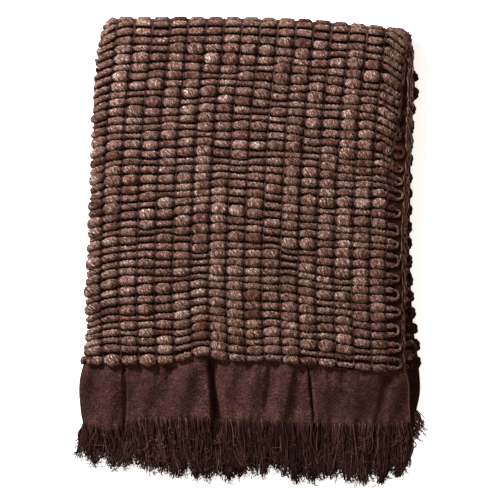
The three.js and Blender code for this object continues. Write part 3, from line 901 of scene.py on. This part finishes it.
# Places in each column of the leaf that is seen and of the hidden one
UPPER_STEPS = (16, 3)
LOWER_STEPS = (6, 2)


def row_places(row, steps):
    """Places across one row, closer together on the leaf that is seen."""
    seen_steps, hidden_steps = steps
    even = np.arange(seen_steps) / seen_steps
    pod = lerp(even, 0.5 - 0.5 * np.cos(np.pi * even), 0.6)
    seen = ((SEEN_COLUMNS + pod) * COLUMN_PITCH).ravel()
    seen = seen[(seen > loop_start(row)) & (seen < SEEN_END)]
    end = inner_end(row)
    return np.concatenate([seen, np.arange(SEEN_END, end - 1, COLUMN_PITCH / hidden_steps), [end]])


LOOP_STEPS = 12
INNER_STEPS = 6
INNER_REACH = 6.0
INNER_HIGH = 3.9
INNER_WIDE = 4.3
LOOP_SIZE = 0.8
LOOP_RISE = 0.8
# Depth of the plies' lobes in thick and in thin yarn, and the length of one turn
LOBES = (0.04, 0.29)
LOBE_LENGTH = 15.0
# Each pair of rows has its own place in the pattern of fibres
PAIR_LANES = 3
PAIR_SHIFT = 7.3


def hairpin(end, start, steps, at, reach):
    """Places and rows round the hairpin from one row's end to the next one's start."""
    turn = np.pi * np.arange(1, steps) / steps
    middle, half = (end[1] + start[1]) / 2, (start[1] - end[1]) / 2
    return at + reach * np.sin(turn), middle - half * np.cos(turn)


def outer_loop(row, end, start):
    """The loop at the outer selvedge, from one row's end to the next one's start, as a row's table."""
    over = over_edge(row)
    at, rows = hairpin(end, start, LOOP_STEPS, loop_start(row), -LOOP_REACH[row])
    bulge = np.sin(np.pi * np.arange(1, LOOP_STEPS) / LOOP_STEPS)
    ones = np.ones(len(bulge))
    high = lerp(end[3], lerp(*TIP_HIGH, over), bulge)
    wide = lerp(end[4], lerp(*TIP_WIDE, over) if row < HALF_ROWS else UNDER_WIDE, bulge)
    return np.stack([at, rows, end[2] + LOOP_RISE * bulge, high, wide, LOOP_SIZE * ones, end[6] * ones])


def inner_loop(end, start):
    """The loop at the inner selvedge, up to and with the first point of the next row."""
    at, rows = hairpin(end, start, INNER_STEPS, end[0], INNER_REACH)
    at = at + (start[0] - end[0]) * np.arange(1, INNER_STEPS) / INNER_STEPS
    ones = np.ones(len(at))
    held = [end[2] * ones, INNER_HIGH * ones, INNER_WIDE * ones, LOOP_SIZE * ones, 0 * ones]
    return np.append(np.stack([at, rows, *held]), start[:, None], axis=1)


def yarn_pair(tubes, row, steps):
    """Two rows of yarn, the loop that joins them at the outer selvedge, and the one to the next pair."""
    back, forth = (yarn_path(r, row_places(r, steps)) for r in (row, row + 1))
    parts = [back[:, ::-1], outer_loop(row, back[:, 0], forth[:, 0]), forth]
    if row + 2 < ALL_ROWS:
        following = yarn_path(row + 2, row_places(row + 2, steps)[-1:])
        parts.append(inner_loop(forth[:, -1], following[:, 0]))
    at, rows, off, high, wide, size, swell = np.concatenate(parts, axis=1)
    centre = cloth_point(at, rows, off)
    out = outward(cloth_point, at, rows, off)
    gone = travelled(centre)
    number = row // 2
    place = gone / COLUMN_PITCH + PAIR_SHIFT * number
    lobes = lerp(*LOBES, np.clip((1.15 - size) / 0.6, 0, 1))
    turns = LOBE_START[row] + gone / LOBE_LENGTH
    tone = TONES[np.clip(rows, 0, ALL_ROWS - 1).astype(int), column_at(at)]
    pods = np.stack([swell, tone, 0 * tone], -1)
    tubes.add(centre, out, high, wide, place, PAIR_LANES * number, lobes, turns, pods)


def add_yarn():
    pieces = []
    for name, first, last, sides, steps in (
        ("slub_rows_lower", 0, 14, 12, UPPER_STEPS),
        ("slub_rows_middle", 14, 28, 12, UPPER_STEPS),
        ("slub_rows_upper", 28, UNDER_ROW, 12, UPPER_STEPS),
        ("slub_rows_underside", UNDER_ROW, ALL_ROWS, 9, LOWER_STEPS),
    ):
        tubes = Tubes(sides)
        for row in range(first, last, 2):
            yarn_pair(tubes, row, steps)
        pieces.append(tubes.piece(name, SLUB_YARN))
    return pieces


# The thin warps that tie the yarn down

WARP_RADIUS = 0.95
HIDDEN_RADIUS = 0.9
WARP_HALF_GAP = 1.0
# Binding lines of the leaf that is seen and of the hidden one
SEEN_LINES = range(-1, 17)
HIDDEN_LINES = range(17, 35)


def warp_line(tubes, at, first, last, steps, lane, radius):
    """One warp along the throw: over every row of yarn and down to the ground between two."""
    numbers = np.arange(first, last)
    places = np.array([at * (outer_stretch(row) if at < 0 else 1) for row in numbers], float)
    middles = np.array([row_shift(row, place) for row, place in zip(numbers, places)])
    middles = np.maximum.accumulate(numbers + 0.5 + middles)
    heights = np.array([yarn_section(row, place)[0] for row, place in zip(numbers, places)])
    tops = GROUND_TOP + (1 + YARN_LIFT) * heights + radius * 0.6
    share = np.arange(steps) / steps
    rows, top, place = (
        np.append(lerp(v[:-1, None], v[1:, None], share).ravel(), v[-1]) for v in (middles, tops, places)
    )
    near = np.append(np.tile(np.abs(np.cos(np.pi * share)), len(numbers) - 1), 1.0)
    off = lerp(GROUND_TOP + 0.5 * radius, top, near ** 0.7)
    across = place + 0.6 * np.sin(np.pi * rows + 2.4 * lane) + 0.4 * np.sin(2.1 * rows + lane)
    centre = cloth_point(across, rows, off)
    out = outward(cloth_point, across, rows, off)
    tubes.add(centre, out, radius, radius, travelled(centre) / COLUMN_PITCH, lane)


def add_warps():
    over, under = Tubes(4), Tubes(3)
    lane = 0
    for line in SEEN_LINES:
        for side in (-WARP_HALF_GAP, WARP_HALF_GAP):
            lane += 1
            at = line * COLUMN_PITCH + side
            warp_line(over, at, 0, UNDER_ROW, 6, lane, WARP_RADIUS)
            warp_line(under, at, UNDER_ROW, ALL_ROWS, 3, lane, WARP_RADIUS)
    last = inner_end(10) - 6
    for line in HIDDEN_LINES:
        lane += 1
        at = line * COLUMN_PITCH
        if at < last:
            warp_line(under, at, 0, HALF_ROWS, 2, lane, HIDDEN_RADIUS)
            warp_line(under, at, UNDER_ROW, ALL_ROWS, 2, lane, HIDDEN_RADIUS)
    return over.piece("binding_warps_upper", BINDING), under.piece("binding_warps_lower", BINDING)


# The sheets of ground cloth

# Length and steps of the cloth round the lengthwise fold
TURN_WIDTH = 20
TURN_STEPS = 8
WEAVE_SHIFT = 3.3
# Rows that the bands reach in under the yarn
BAND_UNDER = 0.4


def sheet_mesh(name, us, alongs):
    """A closed thin sheet of ground cloth over a grid of places."""
    u, along = np.meshgrid(us, alongs, indexing="ij")
    skins = [sheet_point(u, along, off) for off in (GROUND_TOP, BACK)]
    points = np.concatenate([skin.reshape(-1, 3) for skin in skins])
    number = np.arange(u.size).reshape(u.shape)
    quads = cells(number).reshape(-1, 4)
    rim = np.concatenate([number[:, 0], number[-1, 1:], number[-2::-1, -1], number[0, -2:0:-1]])
    beyond = np.roll(rim, -1)
    edge = np.stack([beyond, rim, rim + u.size, beyond + u.size], -1)
    faces = np.concatenate([quads, quads[:, ::-1] + u.size, edge])
    across = np.where(u > 1, TURN_WIDTH + (u - 1) * LEAF_WIDTH, u * np.where(u < 0, LEAF_WIDTH, TURN_WIDTH))
    bands = np.minimum(along, 0) + np.maximum(along - ALL_ROWS, 0)
    length = bands * BAND_LENGTH + np.clip(along, 0, ALL_ROWS) * ROW_PITCH
    places = np.stack([across, length], -1).reshape(-1, 2)
    places = np.concatenate([places, places + WEAVE_SHIFT])
    first = points[faces[0]]
    out = np.cross(first[1] - first[0], first[2] - first[0])
    if np.dot(out, skins[0][0, 0] - skins[1][0, 0]) < 0:
        faces = faces[:, ::-1]
    return add_piece(name, points, [faces], [places[faces]], GROUND_CLOTH)


def fold_places(leaf_steps, inner_steps):
    """Places round the doubled cloth, from the outer leaf's selvedge to the inner one's."""
    outer = np.linspace(-1, 0, leaf_steps + 1)[:-1]
    turn = np.linspace(0, 1, TURN_STEPS + 1)[:-1]
    return np.concatenate([outer, turn, np.linspace(1, 2, inner_steps + 1)])


def add_sheets():
    ground_rows = np.concatenate([
        np.linspace(0, HALF_ROWS, 45)[:-1],
        np.linspace(HALF_ROWS, UNDER_ROW, 17)[:-1],
        np.linspace(UNDER_ROW, ALL_ROWS, 40),
    ])
    upper_rows = np.linspace(-1, BAND_UNDER, 38)
    lower_rows = np.linspace(ALL_ROWS - BAND_UNDER, ALL_ROWS + 1, 16)
    return (
        sheet_mesh("ground_sheet", fold_places(60, 40), ground_rows),
        sheet_mesh("upper_band_sheet", fold_places(330, 50), upper_rows),
        sheet_mesh("lower_band_sheet", fold_places(90, 60), lower_rows),
    )


# The fringes

THREAD_STEPS = 14
FRAY_STEPS = 6
HAIR_STEPS = 12
HAIR_RADIUS = 0.5
LEAST_REST = 0.9
CURL_START = 0.68
# At both ends of the fringe the tips lean to the left, over these x
END_LEAN = 10.0
LEFT_END = (-325, -262)
RIGHT_END = (262, 318)
CURL_LEFT_X = 280
SEED_LANES = 1000
# Leaves of both fringes: seed, places round the doubled cloth, the level the threads rest on, threads, tufts,
# how much a tuft draws together
UPPER_LEAVES = ((21, (-0.995, 0.03), 7.8, 700, 50, 1.0), (22, (1.0, 1.99), 4.8, 560, 44, 0.5))
LOWER_LEAVES = ((23, (1.0, 1.99), 2.6, 560, 38, 0.1), (24, (-0.995, 0.03), 0.9, 640, 44, 0.1))


def wander(start, direction, step):
    """x and y along a line that goes on in changing directions."""
    return start[0] + np.cumsum(np.cos(direction)) * step, start[1] + np.cumsum(np.sin(direction)) * step


def fray(tubes, tip, heading, lane, random, curled):
    """A fine fibre that curls away from a thread's tip."""
    share = np.linspace(0, 1, FRAY_STEPS)
    step = random.uniform(4, 12) / (FRAY_STEPS - 1)
    angle = math.atan2(heading[1], heading[0]) + random.normal(0, 0.7)
    x, y = wander(tip - step, angle + random.normal(0, curled) * share, step)
    z = np.maximum(tip[2] + random.uniform(-1, 2.5) * share, 0.5)
    radius = lerp(0.85, 0.6, share)
    tubes.add(np.stack([x, y, z], -1), UP, radius, radius, share, lane + 0.25)


def thread(tubes, root, tip, level, lane, random, curl, loose, thick, together, late, frayed, curled):
    """One warp end, falling to the level it rests on. together is the bend that it shares with its tuft, late
    how late it draws towards it, frayed how often it ends in a fine fibre, and curled how much that curls."""
    share = np.linspace(0, 1, THREAD_STEPS)
    bow = random.normal(0, 2.4 + 3.5 * loose)
    phase, turns = random.uniform(0, 6.3), random.uniform(0.8, 2.6)
    size, start, bends = together
    wave = (1.5 + 2.4 * loose) * np.sin(2 * np.pi * turns * share + phase)
    wave = wave + size * (np.sin(2 * np.pi * bends * share + start) - math.sin(start) * (1 - share))
    swing = curl * np.clip((share - CURL_START) / (1 - CURL_START), 0, 1) ** 2
    x = lerp(root[0], tip[0], share ** late) + bow * np.sin(np.pi * share) + wave * np.sqrt(share) + swing
    y = lerp(root[1], tip[1], share) + 0.55 * np.abs(swing)
    rest = settle(x, y, level + loose * 1.6 * np.sin(np.pi * share * turns))
    z = lerp(root[2], np.maximum(rest, LEAST_REST), smooth(share, -0.05, 0.75))
    radius = thick * lerp(1.0, 0.85, share ** 2)
    centre = np.stack([x, y, z], -1)
    tubes.add(centre, UP, radius, radius, share * (root[1] - tip[1]) / COLUMN_PITCH, lane)
    if random.uniform() < frayed:
        fray(tubes, centre[-1], centre[-1] - centre[-3], lane, random, curled)


def fringe_threads(tubes, seed, u_ends, upper, rest, count, tufts, gather):
    """Warp ends of one leaf, in tufts that draw together, lean, cross and fray at the tips."""
    random = np.random.default_rng(seed)
    band = -1.0 if upper else ALL_ROWS + 1.0
    across = [sheet_point(np.array([u]), band, GROUND_TOP)[0, 0] for u in u_ends]
    spacing = 1 / tufts
    middles = (np.arange(tufts) + 0.5 + random.uniform(-0.4, 0.4, tufts)) * spacing
    leans = random.normal(0, 8 if upper else 4, tufts)
    shorter = random.uniform(0, 1, tufts) ** 1.3 * lerp(26, 20, gather) + lerp(3, -2, gather)
    draw = random.uniform(0.6, 1.0, tufts) * (1.0 if upper else 0.5)
    levels = random.uniform(0, 2.6, tufts)
    bends = np.stack([random.uniform(*limits, tufts) for limits in ((1, 5), (0, 6.3), (0.5, 1.3))])
    bends[0] *= gather
    for number in range(count):
        spot = np.clip((number + random.uniform(0, 1)) / count, 0.002, 0.998)
        tuft = int(np.argmin(np.abs(middles - spot - random.normal(0, 0.12 * spacing))))
        off = lerp(BACK, GROUND_TOP, random.uniform(0.6, 1.3))
        root = sheet_point(np.array([lerp(*u_ends, spot)]), band, off)[0]
        root = root + [0, random.uniform(0, 3.5), 0.35]
        loose = 1.0 if random.uniform() < 0.2 else 0.2
        tip_x = lerp(root[0], lerp(*across, middles[tuft]), draw[tuft]) + leans[tuft]
        tip_x = tip_x + random.normal(0, 1.5 + 6 * loose)
        tip_x = tip_x - END_LEAN * (1 - smooth(root[0], *LEFT_END) + smooth(root[0], *RIGHT_END))
        uneven = 4 * np.sin(tip_x / 5.1) + 3.5 * np.sin(tip_x / 8.7 + 2) + 2 * np.sin(tip_x / 2.9)
        tip_y = curve("tips", tip_x) + shorter[tuft] + uneven + np.abs(random.normal(0, 4))
        level = rest + levels[tuft] + random.uniform(0, 2.6)
        thick = random.uniform(0.7, 1.15) * lerp(1.5, 1.0, gather)
        curl = random.normal(0, 2.5 + 8 * loose)
        if root[0] > CURL_LEFT_X:
            curl = -abs(curl)
        lane = number + seed * SEED_LANES
        own = (curl, loose, thick, bends[:, tuft], lerp(3.5, 1.1, gather), 0.28, 1.8)
        thread(tubes, root, (tip_x, tip_y), level, lane, random, *own)


def loose_hairs(tubes, seed, count):
    """Fine light hairs that curl on top of the fringe."""
    random = np.random.default_rng(seed)
    share = np.linspace(0, 1, HAIR_STEPS)
    for number in range(count):
        start = random.uniform(-312, 300), random.uniform(-405, -345)
        heading = random.choice([-1.0, 1.0]) * random.uniform(0.6, 2.0) - 1.57
        direction = heading + random.normal(0, 2.6) * share + 0.8 * np.sin(5 * share + random.uniform(0, 6))
        x, y = wander(start, direction, random.uniform(12, 34) / (HAIR_STEPS - 1))
        rest = lerp(15.5, 11.0, smooth(-y, 335, 400))
        z = settle(x, y, rest + 1.5 * np.sin(np.pi * share))
        tubes.add(np.stack([x, y, z], -1), UP, HAIR_RADIUS, HAIR_RADIUS, share, HAIR_LANE + number)


def corner_tuft(tubes, seed, roots, tips, rest, count):
    """A loose tuft at a corner, its roots and its tips each spread between two places."""
    random = np.random.default_rng(seed)
    roots, tips = np.array(roots, float), np.array(tips, float)
    for number in range(count):
        share = random.uniform(0, 1)
        tip = lerp(*tips, share) + [random.normal(0, 4), random.normal(0, 5)]
        lane = number + seed * SEED_LANES
        curl = random.normal(0, 3)
        level = rest + random.uniform(0, 2)
        own = (curl, 0.3, random.uniform(0.8, 1.15), (0, 0, 0), 1.1, 0.5, 0.9)
        thread(tubes, lerp(*roots, share), tip, level, lane, random, *own)


def add_fringes():
    upper, lower = Tubes(3), Tubes(3)
    for tubes, leaves in ((upper, UPPER_LEAVES), (lower, LOWER_LEAVES)):
        for seed, u_ends, rest, count, tufts, gather in leaves:
            fringe_threads(tubes, seed, u_ends, tubes is upper, rest, count, tufts, gather)
    corner_tuft(upper, 33, ((-222, -313, 14), (-196, -314, 14)), ((-266, -404), (-236, -400)), 9.5, 70)
    loose_hairs(upper, 41, 130)
    corner_tuft(lower, 31, ((296, -318, 6), (318, -300, 4)), ((308, -356), (329, -333)), 2.0, 60)
    corner_tuft(lower, 32, ((-322, -330, 6), (-312, -332, 5)), ((-330, -384), (-318, -374)), 2.0, 40)
    return upper.piece("upper_warp_ends", WARP_ENDS), lower.piece("lower_warp_ends", WARP_ENDS)


# The cords along the selvedge: how far inside it, radius, lane, phase of the twist, first row
CORDS = (
    (1.6, 1.4, 1, 0.0, -0.98),
    (1.6, 1.1, 2, math.pi, -0.98),
    (5.4, 1.3, 3, 1.0, 3.0),
    (5.8, 1.1, 4, 1.0 + math.pi, 3.0),
    (9.4, 1.4, 5, 2.3, 13.0),
    (9.9, 1.1, 6, 2.3 + math.pi, 13.0),
)
CORD_STEPS = 380
# Rows in one turn of two cords
CORD_TURN = 1.35


def add_selvedge():
    cords = Tubes(5)
    for inside, radius, lane, phase, start in CORDS:
        rows = np.linspace(start, UNDER_ROW + 2, CORD_STEPS)
        pair = lane // 2
        turn = 2 * np.pi * (rows / CORD_TURN + 0.4 * np.sin(rows / 1.3 + pair)) + phase
        sway = 1.2 * np.sin(turn) + 0.9 * np.sin(1.1 * rows + 0.3 * phase) + 0.5 * np.sin(2.7 * rows + pair)
        u = -1 + (inside + sway) / LEAF_WIDTH
        off = GROUND_TOP + 0.7 * radius + (0.5 + 1.2 * np.cos(turn))
        centre = sheet_point(u, rows, off)
        knots = 1 + 0.22 * np.sin(4.3 * rows + 2 * lane) + 0.25 * np.sin(1.9 * rows + lane) ** 3
        taper = lerp(1, 0.55, smooth(-rows, -0.5, 0.2)) * lerp(1, 1.25, smooth(rows, 20, 32))
        thick = radius * knots * taper
        out = outward(sheet_point, u, rows, off)
        cords.add(centre, out, thick, thick, travelled(centre) / COLUMN_PITCH, lane)
    return cords.piece("selvedge_cords", EDGE_CORD)


YARN = add_yarn()
WARPS = [*add_warps(), add_selvedge()]
GROUND_SHEET, UPPER_BAND, LOWER_BAND = add_sheets()
UPPER_ENDS, LOWER_ENDS = add_fringes()

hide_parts("throw_cloth")
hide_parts("fringe_upper_end")
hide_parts("fringe_lower_end")

# The floor, the light and the camera, in metres

FLOOR_HALF = 40.0
FLOOR_GLOW = 0.62
VIEW_WIDTH = 0.955
CAMERA_PLACE = (-0.001, 0.0048, 6.0)
SENSOR = 36.0


def add_floor():
    mesh = bpy.data.meshes.new("floor")
    corners = [(x * FLOOR_HALF, y * FLOOR_HALF, 0) for x, y in ((-1, -1), (1, -1), (1, 1), (-1, 1))]
    mesh.from_pydata(corners, [], [(0, 1, 2, 3)])
    n = Nodes("floor")
    at = n.node("ShaderNodeTexCoord").outputs["Object"]
    shade = n.ramp(n.noise(at, 0.7), [(0.3, grey(0.93)), (0.7, grey(0.95))])
    n.link(shade, n.shader.inputs["Base Color"])
    n.link(shade, n.shader.inputs["Emission Color"])
    fill(n.shader, {"Emission Strength": FLOOR_GLOW, "Roughness": 0.9})
    mesh.materials.append(n.material)
    placed("floor", mesh)


def add_light(name, place, size, power, colour=(1, 1, 1)):
    """A round lamp that shines at the middle of the throw."""
    lamp = bpy.data.lights.new(name, "AREA")
    lamp.color = colour
    lamp.shape = "DISK"
    lamp.size = size
    lamp.energy = power
    made = placed(name, lamp)
    made.location = place
    made.rotation_euler = (-Vector(place)).to_track_quat("-Z", "Y").to_euler()


add_floor()
add_light("key_light", place=(-1.75, 1.95, 1.75), size=0.65, power=340, colour=(0.96, 1.0, 1.07))
add_light("fill_light", place=(1.2, -1.6, 3.0), size=2.5, power=26)

world = bpy.data.worlds.new("studio")
world.use_nodes = True
fill(world.node_tree.nodes["Background"], {"Color": (1, 0.83, 0.65, 1), "Strength": 0.4})
bpy.context.scene.world = world
bpy.context.scene.view_settings.view_transform = "Standard"

lens = bpy.data.cameras.new("camera")
lens.type = "PERSP"
lens.sensor_width = SENSOR
lens.lens = SENSOR * CAMERA_PLACE[2] / VIEW_WIDTH
lens.clip_end = 100
camera = placed("camera", lens)
camera.location = CAMERA_PLACE
bpy.context.scene.camera = camera
